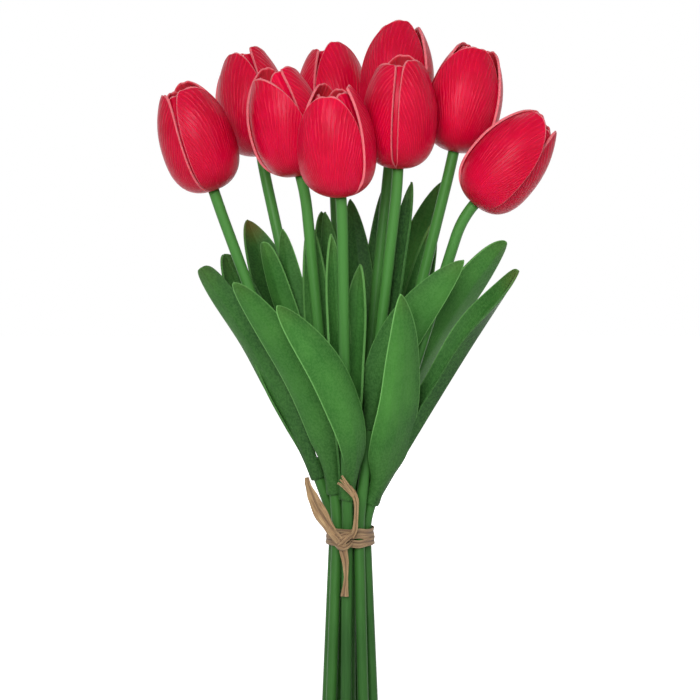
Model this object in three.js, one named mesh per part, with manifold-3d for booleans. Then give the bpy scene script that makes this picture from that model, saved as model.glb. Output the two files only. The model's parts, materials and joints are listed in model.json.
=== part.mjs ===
// A bundle of nine artificial tulips with foam heads, tied round the stems with raffia.
// Millimetres, +Z up, the viewer looks along +Y. The origin is the cut foot of the middle stem.
import * as THREE from "three";
import { mergeVertices } from "three/addons/utils/BufferGeometryUtils.js";
import Module from "manifold-3d";

const wasm = await Module();
wasm.setup();

// Gap between pieces that touch
const CLEARANCE = 0.3;

// Stem: a plastic tube with a closed foot and a peg on top, over a steel wire
const STEM_RADIUS = 2.6;
const STEM_SIDES = 8;
const WIRE_RADIUS = 0.7;
const WIRE_SIDES = 6;
const FOOT_THICKNESS = 4;
const PEG_WALL = 0.7;
const PEG_LENGTH = 8;
const NECK_BEND = 9;

// Bundle: one stem in the middle and a ring of stems round it, splayed below and above the waist
const RING_STEMS = 8;
const WAIST_ABOVE_TIE = 6;
const WAIST_BEND = 7;
const FOOT_SPLAY = 4.4;

// Head: an egg of two petal whorls on a foam core
const HEAD_RADIUS = 17.5;
const HEAD_HEIGHT = 52;
const HEAD_GAP = 2.4;
const PETAL_THICKNESS = 1.6;
const OUTER_PETAL_SPAN = 58;
const INNER_PETAL_SPAN = 54;
const PETAL_OVERLAP = 0.4;
const OUTER_FOOT_LIFT = 0.6;
const INNER_FOOT_LIFT = 6;
const WHORL_GAP = 0.7;
const CORE_WALL = 1.2;
const CORE_SWELL = 1.4;
const CORE_HEIGHT = 20;

// Leaf: a sleeve round the stem with two or three channelled blades
const SLEEVE_WALL = 0.7;
const SLEEVE_LENGTH = 9;
const BLADE_THICKNESS = 1.3;
const BLADE_FOOT_WIDTH = 10.5;
const BLADE_FOOT_CURL = 68;
const BLADE_CURL = 40;

// Raffia: a strip wound twice round the waist, its knot and its three free ends
const STRIP_THICKNESS = 0.9;
const STRIP_WIDTH = 4.4;
const KNOT_WIDTH = 9;
const KNOT_DEPTH = 4.2;
const KNOT_HEIGHT = 10;
const KNOT_OFFSET = -3.3;
const TIE_HEIGHT = 98;

const UP = new THREE.Vector3(0, 0, 1);
const WAIST_HEIGHT = TIE_HEIGHT + WAIST_ABOVE_TIE;
const PEG_RADIUS = WIRE_RADIUS + CLEARANCE + PEG_WALL;
const BORE_RADIUS = WIRE_RADIUS + CLEARANCE;
const HEAD_PITCH = 2 * HEAD_RADIUS + HEAD_GAP;
const RING_RADIUS = (STEM_RADIUS + CLEARANCE / 2) / Math.sin(Math.PI / RING_STEMS);
const CORE_NECK_RADIUS = PEG_RADIUS + CLEARANCE + CORE_WALL;
const CORE_RADIUS = CORE_NECK_RADIUS + CORE_SWELL;

// One row per tulip. neck is where the head meets the stem: across and back in head pitches, then its
// height. lean is how far the head tips to the right and to the back, in degrees, and spin turns its
// petals. slot is its place in the ring at the waist, or null for the stem in the middle. sleeve is the
// height of the leaf's foot above the waist, and each blade has its tip, the direction that its back
// faces in degrees from +X towards +Y, its width and how far it bows out.
const TULIPS = [
  {
    name: "far_left", slot: 4, neck: [-1.7, -0.16, 260], lean: [-18, -6], spin: -50, sleeve: 22,
    blades: [
      { tip: [-70, -7, 224], facing: 230, width: 24, bow: 6 },
      { tip: [-60, 16, 230], facing: 130, width: 22, bow: 4 },
    ],
  },
  {
    name: "back_left", slot: 3, neck: [-1.13, 0.66, 277], lean: [-10, 8], spin: -10, sleeve: 30,
    blades: [
      { tip: [-50, 42, 246], facing: 115, width: 26, bow: 6 },
      { tip: [-32, 8, 242], facing: 250, width: 15, bow: 2 },
      { tip: [-41, 0, 236], facing: 235, width: 14, bow: 1 },
    ],
  },
  {
    name: "front_left", slot: 5, neck: [-0.615, -0.295, 267], lean: [-15, -6], spin: -123, sleeve: 17,
    blades: [
      { tip: [-53, -44, 218], facing: 248, width: 25, bow: 11 },
      { tip: [-19, 0, 246], facing: 90, width: 15, bow: 1 },
    ],
  },
  {
    name: "middle", slot: null, neck: [-0.215, 0.91, 279], lean: [-2, 6], spin: -57, sleeve: 46,
    blades: [
      { tip: [-14, 46, 250], facing: 100, width: 18, bow: 7 },
      { tip: [-12, 8, 250], facing: -110, width: 13, bow: 1 },
    ],
  },
  {
    name: "front_centre", slot: 6, neck: [-0.112, -1.015, 257], lean: [-4, -10], spin: -108, sleeve: 16,
    blades: [
      { tip: [-33, -54, 208], facing: -64, width: 24, bow: 23 },
      { tip: [-9, -21, 240], facing: 135, width: 12, bow: 1 },
      { tip: [4, -22, 224], facing: 10, width: 13, bow: 1 },
    ],
  },
  {
    name: "back_right", slot: 2, neck: [0.535, 0.375, 288], lean: [5, 4], spin: 20, sleeve: 32,
    blades: [
      { tip: [46, 34, 262], facing: 48, width: 25, bow: 6 },
      { tip: [17, 32, 263], facing: 88, width: 14, bow: 3 },
      { tip: [0, 28, 256], facing: 100, width: 16, bow: 2 },
    ],
  },
  {
    name: "front_right", slot: 7, neck: [0.59, -0.535, 270], lean: [2, -6], spin: -38, sleeve: 45,
    blades: [
      { tip: [52, -36, 228], facing: -80, width: 25, bow: 5 },
      { tip: [29, -8, 264], facing: 60, width: 14, bow: 1 },
    ],
  },
  {
    name: "right", slot: 1, neck: [1.295, -0.053, 278], lean: [12, 2], spin: -90, sleeve: 29,
    blades: [
      { tip: [74, 6, 236], facing: -45, width: 24, bow: 5 },
      { tip: [40, 14, 246], facing: 100, width: 15, bow: 2 },
    ],
  },
  {
    name: "far_right", slot: 0, neck: [1.532, -0.53, 253.5], lean: [40, -6], spin: -90, sleeve: 20,
    blades: [
      { tip: [78, -26, 223], facing: -60, width: 26, bow: 7 },
      { tip: [23, -48, 213], facing: -72, width: 20, bow: 16 },
    ],
  },
];
const FIRST_SLOT_ANGLE = -10;

const materials = {
  stem: new THREE.MeshStandardMaterial({ color: "#4f8a44", roughness: 0.45, metalness: 0 }),
  wire: new THREE.MeshStandardMaterial({ color: "#8d9095", roughness: 0.35, metalness: 1 }),
  leaf: new THREE.MeshStandardMaterial({ color: "#3e7a3c", roughness: 0.6, metalness: 0 }),
  petal: new THREE.MeshStandardMaterial({ color: "#cf1236", roughness: 0.55, metalness: 0 }),
  core: new THREE.MeshStandardMaterial({ color: "#e8b8bc", roughness: 0.9, metalness: 0 }),
  raffia: new THREE.MeshStandardMaterial({ color: "#c9a074", roughness: 0.8, metalness: 0 }),
};

const radians = THREE.MathUtils.degToRad;

// A geometry from points and triangles, turned so that its faces point outwards
function closedGeometry(points, triangles) {
  let volume = 0;
  for (const [a, b, c] of triangles) {
    volume += points[a].dot(points[b].clone().cross(points[c]));
  }
  const index = triangles.flatMap(([a, b, c]) => (volume < 0 ? [a, c, b] : [a, b, c]));
  const geometry = new THREE.BufferGeometry().setFromPoints(points);
  geometry.setIndex(index);
  geometry.computeVertexNormals();
  return geometry;
}

// A solid skinned over rings with the same number of points. The first ring is closed flat, and the
// last one is closed flat or drawn to a point.
function skinRings(rings, tip = null) {
  const count = rings[0].length;
  const points = rings.flat();
  const triangles = [];
  const closeFlat = (start, turned) => {
    for (let low = 0, high = count - 1; low + 1 < high; ) {
      const corner = [start + low, start + low + 1, start + high];
      triangles.push(turned ? corner.reverse() : corner);
      low += 1;
      if (low + 1 < high) {
        const next = [start + low, start + high - 1, start + high];
        triangles.push(turned ? next.reverse() : next);
        high -= 1;
      }
    }
  };
  for (let ring = 0; ring + 1 < rings.length; ring += 1) {
    for (let side = 0; side < count; side += 1) {
      const a = ring * count + side;
      const b = ring * count + ((side + 1) % count);
      triangles.push([a, b, b + count], [a, b + count, a + count]);
    }
  }
  closeFlat(0, true);
  const last = (rings.length - 1) * count;
  if (tip) {
    points.push(tip);
    for (let side = 0; side < count; side += 1) {
      triangles.push([last + side, last + ((side + 1) % count), points.length - 1]);
    }
  } else {
    closeFlat(last, false);
  }
  return closedGeometry(points, triangles);
}

// Rings round a list of stations, each with a point, a direction and a radius, without twist
function tubeRings(stations, sides) {
  const across = new THREE.Vector3(1, 0, 0);
  let heading = UP.clone();
  return stations.map(({ point, direction, radius }) => {
    across.applyQuaternion(new THREE.Quaternion().setFromUnitVectors(heading, direction));
    heading = direction.clone();
    const along = new THREE.Vector3().crossVectors(direction, across);
    return Array.from({ length: sides }, (_, side) => {
      const angle = (2 * Math.PI * side) / sides;
      return point
        .clone()
        .addScaledVector(across, radius * Math.cos(angle))
        .addScaledVector(along, radius * Math.sin(angle));
    });
  });
}

function toSolid(geometry) {
  const bare = geometry.clone();
  bare.deleteAttribute("normal");
  bare.deleteAttribute("uv");
  const merged = mergeVertices(bare, 1e-4);
  const mesh = new wasm.Mesh({
    numProp: 3,
    vertProperties: new Float32Array(merged.attributes.position.array),
    triVerts: new Uint32Array(merged.index.array),
  });
  return new wasm.Manifold(mesh);
}

function fromSolid(solid) {
  const mesh = solid.getMesh();
  const geometry = new THREE.BufferGeometry();
  geometry.setAttribute("position", new THREE.BufferAttribute(mesh.vertProperties, 3));
  geometry.setIndex(new THREE.BufferAttribute(mesh.triVerts, 1));
  geometry.computeVertexNormals();
  return geometry;
}

function namedMesh(name, geometry, material) {
  const mesh = new THREE.Mesh(geometry, material);
  mesh.name = name;
  return mesh;
}

// Where a tulip's stem runs: foot, waist corner, neck, and the straight stretch between the bends
function stemRoute(tulip) {
  const angle = radians(FIRST_SLOT_ANGLE + (360 / RING_STEMS) * (tulip.slot ?? 0));
  const outward = new THREE.Vector3(Math.cos(angle), Math.sin(angle), 0);
  const ring = tulip.slot === null ? 0 : 1;
  const foot = outward.clone().multiplyScalar(ring * (RING_RADIUS + FOOT_SPLAY));
  const waist = outward.clone().multiplyScalar(ring * RING_RADIUS).setZ(WAIST_HEIGHT);
  const [across, back, height] = tulip.neck;
  const neck = new THREE.Vector3(across * HEAD_PITCH, back * HEAD_PITCH, height);
  const [right, rear] = tulip.lean.map(radians);
  const headAxis = new THREE.Vector3(Math.tan(right), Math.tan(rear), 1).normalize();
  const corner = neck.clone().addScaledVector(headAxis, -NECK_BEND);
  const low = waist.clone().sub(foot).normalize();
  const high = corner.clone().sub(waist).normalize();
  const waistBend = new THREE.QuadraticBezierCurve3(
    waist.clone().addScaledVector(low, -WAIST_BEND),
    waist,
    waist.clone().addScaledVector(high, WAIST_BEND),
  );
  const neckBend = new THREE.QuadraticBezierCurve3(
    corner.clone().addScaledVector(high, -NECK_BEND),
    corner,
    neck,
  );
  return { foot, waist, neck, headAxis, low, high, waistBend, neckBend };
}

// Points and directions along the bends of a stem, from the waist to the neck
function bendStations(route) {
  const alongCurve = (curve, steps) =>
    Array.from({ length: steps + 1 }, (_, step) => ({
      point: curve.getPoint(step / steps),
      direction: curve.getTangent(step / steps),
    }));
  return [...alongCurve(route.waistBend, 3), ...alongCurve(route.neckBend, 2)];
}

function makeStem(tulip, route) {
  const bends = bendStations(route);
  const pegTop = route.neck.clone().addScaledVector(route.headAxis, PEG_LENGTH);
  const boreFoot = route.foot.clone().addScaledVector(route.low, FOOT_THICKNESS);
  const withRadius = (stations, radius) => stations.map((station) => ({ ...station, radius }));
  const outside = [
    { point: route.foot, direction: UP, radius: STEM_RADIUS },
    ...withRadius(bends, STEM_RADIUS),
    { point: route.neck, direction: route.headAxis, radius: PEG_RADIUS },
    { point: pegTop, direction: route.headAxis, radius: PEG_RADIUS },
  ];
  const bore = [
    { point: boreFoot, direction: route.low, radius: BORE_RADIUS },
    ...withRadius(bends, BORE_RADIUS),
    { point: pegTop, direction: route.headAxis, radius: BORE_RADIUS },
  ];
  const rings = [...tubeRings(outside, STEM_SIDES), ...tubeRings(bore, STEM_SIDES).reverse()];
  return namedMesh("stem_" + tulip.name, skinRings(rings), materials.stem);
}

function makeWire(tulip, route) {
  const bends = bendStations(route);
  const ends = [
    route.foot.clone().addScaledVector(route.low, FOOT_THICKNESS + CLEARANCE),
    route.neck.clone().addScaledVector(route.headAxis, PEG_LENGTH - CLEARANCE),
  ];
  const stations = [
    { point: ends[0], direction: route.low },
    ...bends,
    { point: ends[1], direction: route.headAxis },
  ];
  const rings = tubeRings(stations.map((s) => ({ ...s, radius: WIRE_RADIUS })), WIRE_SIDES);
  return namedMesh("wire_" + tulip.name, skinRings(rings), materials.wire);
}

// Outline of the head: its radius at a share of its height, from a broad rounded foot over the swell to
// the drawn-in top
function eggRadius(share) {
  const swell = 0.42;
  const footRound = 2.6;
  const footBreadth = 1 / 3;
  const topRound = 3;
  const topBreadth = 0.75;
  const drawnIn = 0.88;
  if (share < swell) {
    return HEAD_RADIUS * (1 - (1 - share / swell) ** footRound) ** footBreadth;
  }
  const closing = (share - swell) / (1 - swell);
  return HEAD_RADIUS * (1 - drawnIn * closing ** topRound) ** topBreadth;
}

// Half the angle that a petal spans at a share of the head's height, drawn in above its shoulder
function petalHalfAngle(share, widest) {
  const shoulder = 0.25;
  const drawIn = 3;
  const bluntness = 0.5;
  const narrowing = Math.max(0, (share - shoulder) / (1 - shoulder)) ** drawIn;
  return radians(widest) * (1 - narrowing) ** bluntness;
}

// A whorl of three petals, joined in a ring at the foot and free above the slits
function petalWhorl({ rows, slitRow, columns, widest, radiusAt, footHole, tipShare }) {
  const points = [];
  const triangles = [];
  const found = new Map();
  const place = (radius, angle, share) => {
    const height = share * HEAD_HEIGHT;
    return new THREE.Vector3(radius * Math.cos(angle), radius * Math.sin(angle), height);
  };
  const vertex = (wall, row, petal, column) => {
    const joined = row <= slitRow;
    const inRing = (petal * columns + column) % (3 * columns);
    const key = joined ? `${wall} ${row} ${inRing}` : `${wall} ${row} ${petal} ${column}`;
    if (!found.has(key)) {
      const share = rows[row];
      const across = (2 * column) / columns - 1;
      const half = joined ? Math.PI / 3 : petalHalfAngle(share, widest);
      const tuck = joined ? 0 : PETAL_OVERLAP * across;
      const outer = radiusAt(share) + tuck;
      const inner = row === 0 ? footHole : outer - PETAL_THICKNESS;
      const angle = (2 * Math.PI * petal) / 3 + half * across;
      points.push(place(wall === "outer" ? outer : inner, angle, share));
      found.set(key, points.length - 1);
    }
    return found.get(key);
  };
  const quad = (a, b, c, d) => triangles.push([a, b, c], [a, c, d]);
  const lastRow = rows.length - 1;
  for (let petal = 0; petal < 3; petal += 1) {
    const tipRadius = radiusAt(tipShare) - PETAL_THICKNESS / 2;
    points.push(place(tipRadius, (2 * Math.PI * petal) / 3, tipShare));
    const tip = points.length - 1;
    const at = (wall, row, column) => vertex(wall, row, petal, column);
    for (let column = 0; column < columns; column += 1) {
      const next = column + 1;
      for (let row = 0; row < lastRow; row += 1) {
        const above = row + 1;
        quad(at("outer", row, column), at("outer", row, next),
          at("outer", above, next), at("outer", above, column));
        quad(at("inner", row, next), at("inner", row, column),
          at("inner", above, column), at("inner", above, next));
      }
      quad(at("inner", 0, column), at("inner", 0, next), at("outer", 0, next), at("outer", 0, column));
      triangles.push([at("outer", lastRow, column), at("outer", lastRow, next), tip]);
      triangles.push([at("inner", lastRow, next), at("inner", lastRow, column), tip]);
    }
    for (let row = slitRow; row < lastRow; row += 1) {
      const above = row + 1;
      quad(at("inner", row, 0), at("outer", row, 0), at("outer", above, 0), at("inner", above, 0));
      quad(at("outer", row, columns), at("inner", row, columns),
        at("inner", above, columns), at("outer", above, columns));
    }
    triangles.push([at("inner", lastRow, 0), at("outer", lastRow, 0), tip]);
    triangles.push([at("outer", lastRow, columns), at("inner", lastRow, columns), tip]);
  }
  return closedGeometry(points, triangles);
}

function outerPetals() {
  const footShare = OUTER_FOOT_LIFT / HEAD_HEIGHT;
  return petalWhorl({
    rows: [footShare, 0.05, 0.13, 0.27, 0.45, 0.64, 0.8, 0.92],
    slitRow: 1,
    columns: 4,
    widest: OUTER_PETAL_SPAN,
    radiusAt: eggRadius,
    footHole: CORE_NECK_RADIUS + CLEARANCE,
    tipShare: 1,
  });
}

function innerPetals() {
  const footShare = INNER_FOOT_LIFT / HEAD_HEIGHT;
  const inset = PETAL_THICKNESS + 2 * PETAL_OVERLAP + WHORL_GAP;
  return petalWhorl({
    rows: [footShare, 0.25, 0.5, 0.72, 0.9],
    slitRow: 1,
    columns: 3,
    widest: INNER_PETAL_SPAN,
    radiusAt: (share) => eggRadius(share) - inset,
    footHole: CORE_RADIUS + CLEARANCE,
    tipShare: 0.98,
  });
}

// The foam core: a socket for the peg, a neck, a swelling that carries the inner petals and a dome
function budCore() {
  const socket = PEG_RADIUS + CLEARANCE;
  const socketTop = PEG_LENGTH + CLEARANCE;
  const swellStart = INNER_FOOT_LIFT / 2;
  const domeStart = (INNER_FOOT_LIFT + CORE_HEIGHT) / 2;
  const profile = [
    [0, socketTop],
    [socket, socketTop],
    [socket, CLEARANCE],
    [CORE_NECK_RADIUS, CLEARANCE],
    [CORE_NECK_RADIUS, swellStart],
    [CORE_RADIUS, INNER_FOOT_LIFT],
    [CORE_RADIUS, domeStart],
    [CORE_RADIUS * 0.7, (domeStart + 2 * CORE_HEIGHT) / 3],
    [0, CORE_HEIGHT],
  ].map(([radius, height]) => new THREE.Vector2(radius, height));
  const lathe = new THREE.LatheGeometry(profile, STEM_SIDES);
  lathe.rotateX(Math.PI / 2);
  return lathe;
}

function makeHead(tulip, route) {
  const head = new THREE.Group();
  head.position.copy(route.neck);
  head.quaternion.setFromUnitVectors(UP, route.headAxis);
  const turned = new THREE.Group();
  turned.rotation.z = radians(tulip.spin);
  head.add(turned);
  const inner = namedMesh("inner_petals_" + tulip.name, innerPetals(), materials.petal);
  inner.rotation.z = Math.PI / 3;
  turned.add(
    namedMesh("outer_petals_" + tulip.name, outerPetals(), materials.petal),
    inner,
    namedMesh("bud_core_" + tulip.name, budCore(), materials.core),
  );
  return head;
}

// Share of a blade's full width at a share of its length, widest past the middle
function bladeOutline(share) {
  const rise = 0.8;
  const fall = 0.6;
  const peak = rise / (rise + fall);
  return (share ** rise * (1 - share) ** fall) / (peak ** rise * (1 - peak) ** fall);
}

// One channelled blade from the sleeve to its tip. Its section is an arc whose hollow faces the stem.
function bladeGeometry(root, heading, blade) {
  const facing = radians(blade.facing);
  const back = new THREE.Vector3(Math.cos(facing), Math.sin(facing), 0);
  back.addScaledVector(heading, -back.dot(heading)).normalize();
  const sleeveRadius = STEM_RADIUS + CLEARANCE + SLEEVE_WALL;
  const foot = root.clone().addScaledVector(back, sleeveRadius);
  const tip = new THREE.Vector3(...blade.tip);
  const climb = 0.45 * foot.distanceTo(tip);
  const bend = foot.clone().addScaledVector(heading, climb).addScaledVector(back, blade.bow);
  const spine = new THREE.QuadraticBezierCurve3(foot, bend, tip);
  const shares = [0, 0.1, 0.22, 0.36, 0.5, 0.64, 0.78, 0.9, 0.97];
  const opened = 0.2;
  const rings = shares.map((share) => {
    const point = spine.getPoint(share);
    const along = spine.getTangent(share);
    const side = new THREE.Vector3().crossVectors(along, back).normalize();
    const out = new THREE.Vector3().crossVectors(side, along);
    const spread = Math.min(1, share / opened);
    const width = BLADE_FOOT_WIDTH * (1 - spread) + spread * blade.width * bladeOutline(share);
    const halfAngle = radians(THREE.MathUtils.lerp(BLADE_FOOT_CURL, BLADE_CURL, spread));
    const arc = width / 2 / halfAngle;
    const centre = point.clone().addScaledVector(out, -arc);
    const onArc = (across, depth) =>
      centre
        .clone()
        .addScaledVector(out, (arc - depth) * Math.cos(halfAngle * across))
        .addScaledVector(side, (arc - depth) * Math.sin(halfAngle * across));
    const outside = [-0.5, 0, 0.5].map((across) => onArc(across, 0));
    const inside = [0.5, 0, -0.5].map((across) => onArc(across, BLADE_THICKNESS));
    const edge = (across) => onArc(across, BLADE_THICKNESS / 2);
    return [edge(-1), ...outside, edge(1), ...inside];
  });
  return skinRings(rings, tip);
}

function makeLeaf(tulip, route) {
  const foot = route.waist.clone().addScaledVector(route.high, tulip.sleeve / route.high.z);
  const station = (distance, radius) => ({
    point: foot.clone().addScaledVector(route.high, distance),
    direction: route.high,
    radius,
  });
  const flat = Math.cos(Math.PI / STEM_SIDES);
  const bore = (STEM_RADIUS + CLEARANCE) / flat;
  const outside = bore + SLEEVE_WALL;
  const sleeve = [station(0, outside), station(SLEEVE_LENGTH, outside)];
  const longest = Math.max(...tulip.blades.map((blade) => blade.tip[2])) - foot.z;
  const stemRoom = [station(-SLEEVE_LENGTH, bore), station(longest + SLEEVE_LENGTH, bore)];
  const root = station(SLEEVE_LENGTH / 2, outside).point;
  let solid = toSolid(skinRings(tubeRings(sleeve, STEM_SIDES)));
  for (const blade of tulip.blades) {
    solid = solid.add(toSolid(bladeGeometry(root, route.high, blade)));
  }
  solid = solid.subtract(toSolid(skinRings(tubeRings(stemRoom, STEM_SIDES))));
  return namedMesh("leaf_" + tulip.name, fromSolid(solid), materials.leaf);
}

// The raffia wound twice round the stems, with a groove between the two turns
function raffiaBand() {
  const half = STRIP_WIDTH;
  const splay = (FOOT_SPLAY * (WAIST_HEIGHT - TIE_HEIGHT + half)) / WAIST_HEIGHT;
  const inner = RING_RADIUS + splay + STEM_RADIUS + CLEARANCE;
  const outer = inner + STRIP_THICKNESS;
  const groove = STRIP_THICKNESS / 2;
  const profile = [
    [inner, -half],
    [outer, -half + groove],
    [outer, -groove],
    [outer - groove, 0],
    [outer, groove],
    [outer, half - groove],
    [inner, half],
    [inner, -half],
  ].map(([radius, height]) => new THREE.Vector2(radius, height));
  const lathe = new THREE.LatheGeometry(profile, 3 * STEM_SIDES);
  lathe.rotateX(Math.PI / 2);
  lathe.translate(0, 0, TIE_HEIGHT);
  return { lathe, outer };
}

// A flat strip of raffia through points given from the knot, each with its width
function raffiaTail(start, points) {
  const curve = new THREE.CatmullRomCurve3(
    [[0, 0, 0], ...points].map(([x, y, z]) => start.clone().add(new THREE.Vector3(x, y, z))),
  );
  const widths = [points[0][3], ...points.map((point) => point[3])];
  const rings = widths.map((width, step) => {
    const share = step / (widths.length - 1);
    const point = curve.getPoint(share);
    const along = curve.getTangent(share);
    const side = new THREE.Vector3().crossVectors(along, new THREE.Vector3(0, -1, 0)).normalize();
    const out = new THREE.Vector3().crossVectors(side, along);
    return [[-1, 0], [0, 1], [1, 0], [0, -1]].map(([across, through]) =>
      point
        .clone()
        .addScaledVector(side, (across * width) / 2)
        .addScaledVector(out, (through * STRIP_THICKNESS) / 2),
    );
  });
  return skinRings(rings);
}

function makeTie() {
  const tie = new THREE.Group();
  const band = raffiaBand();
  const knotBack = band.outer + CLEARANCE;
  const knotCentre = new THREE.Vector3(KNOT_OFFSET, -knotBack - KNOT_DEPTH / 2, TIE_HEIGHT);
  const knot = new THREE.SphereGeometry(0.5, 10, 8);
  knot.scale(KNOT_WIDTH, KNOT_DEPTH, KNOT_HEIGHT);
  knot.translate(knotCentre.x, knotCentre.y, knotCentre.z);
  const fromKnot = (x, z) =>
    knotCentre.clone().add(new THREE.Vector3(x * KNOT_WIDTH, 0, z * KNOT_HEIGHT));
  const leftTail = raffiaTail(fromKnot(-0.52, 0.3), [
    [-4.4, -1, 8, 6],
    [-9, -1.5, 17, 7],
    [-12, -1, 25, 2.4],
  ]);
  const upperTail = raffiaTail(fromKnot(0.45, 0.42), [
    [1.6, -2, 8, 4],
    [0.6, -3.4, 16, 5],
    [-5, -4.4, 25, 4],
  ]);
  const lowerTail = raffiaTail(fromKnot(0, -0.56), [
    [0.6, 0.6, -6, 3.4],
    [0.2, 0.8, -13, 3.2],
    [1.6, 0.4, -22, 2.6],
  ]);
  tie.add(
    namedMesh("raffia_band", band.lathe, materials.raffia),
    namedMesh("raffia_knot", knot, materials.raffia),
    namedMesh("raffia_left_tail", leftTail, materials.raffia),
    namedMesh("raffia_upper_tail", upperTail, materials.raffia),
    namedMesh("raffia_lower_tail", lowerTail, materials.raffia),
  );
  return tie;
}

const bundle = new THREE.Group();
for (const tulip of TULIPS) {
  const route = stemRoute(tulip);
  bundle.add(
    makeStem(tulip, route),
    makeWire(tulip, route),
    makeLeaf(tulip, route),
    makeHead(tulip, route),
  );
}
bundle.add(makeTie());

export default bundle;
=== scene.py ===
"""Foam tulip bundle: nine tulips tied with raffia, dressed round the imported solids."""

import json
import math
import random

import bpy
from mathutils import Matrix, Vector


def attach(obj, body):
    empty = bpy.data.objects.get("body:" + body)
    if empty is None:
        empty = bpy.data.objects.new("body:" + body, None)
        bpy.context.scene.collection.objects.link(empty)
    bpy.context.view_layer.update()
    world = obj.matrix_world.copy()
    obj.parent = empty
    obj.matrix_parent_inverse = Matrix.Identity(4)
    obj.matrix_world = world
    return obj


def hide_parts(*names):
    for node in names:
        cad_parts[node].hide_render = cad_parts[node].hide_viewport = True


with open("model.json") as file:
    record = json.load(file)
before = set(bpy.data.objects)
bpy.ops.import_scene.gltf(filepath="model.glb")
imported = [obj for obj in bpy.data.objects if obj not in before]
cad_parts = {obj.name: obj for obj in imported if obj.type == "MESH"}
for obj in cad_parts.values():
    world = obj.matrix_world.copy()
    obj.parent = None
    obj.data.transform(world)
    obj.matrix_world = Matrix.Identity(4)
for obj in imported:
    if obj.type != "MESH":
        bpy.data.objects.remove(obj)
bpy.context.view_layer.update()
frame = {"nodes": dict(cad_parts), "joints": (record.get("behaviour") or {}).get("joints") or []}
JOINTS = {joint["name"]: joint for joint in frame["joints"]}

MM = 0.001
UP = Vector((0, 0, 1))
TOWARDS_VIEWER = Vector((0, -1, 0))
AWAY_FROM_VIEWER = Vector((0, 1, 0))
SEAM_GAP = 0.01 * MM
# Keeps the end of a path inside its last span
LAST_SPAN_INSET = 1e-6
# A turn in radians, rounded, for waves that needn't close
ROUGH_TURN = 6.28
# How far the thin lines along the middle of petals and blades spread, as a share of half the width
LINE_SPREAD = 0.06
# The edge distance of a surface that has no cut edge
FAR_FROM_EDGE = 5 * MM

# Stems: straight below and above the waist, with a bend there and at the neck
STEM_RADIUS = 2.6 * MM
STEM_FOOT_SHARE = 0.9
NECK_BEND = 9 * MM
WAIST_HEIGHT = 104 * MM
WAIST_BEND = 7 * MM
RING_RADIUS = 7.186 * MM
FOOT_SPLAY = 4.4 * MM
LOW_STEPS = 12
WAIST_STEPS = 8
HIGH_STEPS = 20
NECK_STEPS = 12
TUBE_AROUND = 28
TUBE_PATTERN_LENGTH = 100 * MM

# Heads: an egg of three outer and three inner petals. Heights are shares of the head's, the shoulder's
# of a petal's own, and angles are in degrees.
HEAD_RADIUS = 17.5 * MM
HEAD_HEIGHT = 52 * MM
HEAD_SWELL = 0.42
FOOT_CURVE = 2.6
FOOT_FULLNESS = 0.41
TOP_DRAWN_IN = 0.57
TOP_CURVE = 2.2
PETAL_THICKNESS = 1.2 * MM
PETAL_ACROSS = 24
PETAL_ALONG = 34
PETAL_SHOULDER = 0.28
PETAL_TIP_CURVE = 0.38
PETAL_SHADES = 0.35
SOFT_TIP_SHARE = 0.03
# The petals' pattern is as wide as a third of the way round the head's swell
PATTERN_HALF_WIDTH = math.radians(60) * HEAD_RADIUS
# Petals are joined below this height, where each is at least this wide to either side
JOINED_SHARE = 0.07
JOINED_HALF_WIDTH = 60.5
# The relief of a petal: dipped sides, flared and lapped edges, and a groove along its middle. It is full
# above a sixth of the height, and fades where the petal is narrower than this to either side.
RELIEF_STEEPNESS = 6
RELIEF_HALF_WIDTH = 8 * MM
SIDE_DIP = 0.4 * MM
SIDE_DIP_CURVE = 2.5
EDGE_FLARE = 0.6 * MM
EDGE_FLARE_CURVE = 12
EDGE_LAP = 0.75 * MM
MIDDLE_GROOVE = 0.18 * MM
OUTER_FOOT = 0.002
INNER_FOOT = 0.04
INNER_HEIGHTS = (0.89, 0.95)
INNER_HALF_WIDTH = 57
INNER_LEAN = -0.5
INNER_SKEW = 0.2
INNER_ROUND = 3.6
# How far the inner petals lie inside the outer ones, for each lap
INNER_INSETS = {0: 1.7 * MM, 1: 2.7 * MM, -1: 2.7 * MM}

# Leaves: a sleeve on the stem and its blades
SLEEVE_RADIUS = 3.8 * MM
SLEEVE_FOOT_RADIUS = 3.3 * MM
SLEEVE_LENGTH = 9 * MM
SLEEVE_WALL = 0.5 * MM
SLEEVE_STEPS = 6
SLEEVE_TONE = 0.6
BLADE_THICKNESS = 1.1 * MM
BLADE_FOOT_WIDTH = 11 * MM
BLADE_TIP_WIDTH = 0.7 * MM
BLADE_FOOT_CURL = math.radians(80)
BLADE_TIP_CURL = math.radians(34)
BLADE_ACROSS = 20
BLADE_ALONG = 52
# Rows crowd towards the tip. The sheath takes this share of them, and reaches this share down the sleeve.
BLADE_CROWDING = 1.5
SHEATH_SHARE = 0.07
SHEATH_DROP = 0.55
# Shares of a blade's length: where it bends, by where it is open, and from where it takes its tip's curl
BLADE_BEND_SHARE = 0.45
OPEN_SHARE = 0.22
FLAT_FROM = 0.55
FLAT_OVER = 0.45
CREASE_SOFTNESS = 0.003
BLADE_RIPPLES = (1.6, 2.6)
EDGE_RIPPLE = 0.03
MIDRIB_HEIGHT = 0.25 * MM
BROWN_REACH = 16 * MM

# Raffia: a band of two turns, each with its height and width in mm, and strips
BAND_RADIUS = 11.1 * MM
BAND_TURNS = ((99.4, 4.8), (95.4, 3.7))
BAND_STEPS = 96
BAND_PLEAT = 0.12
# Where the winding starts and how far it goes, in degrees
BAND_START = 90
BAND_SWEEP = 372
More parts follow.
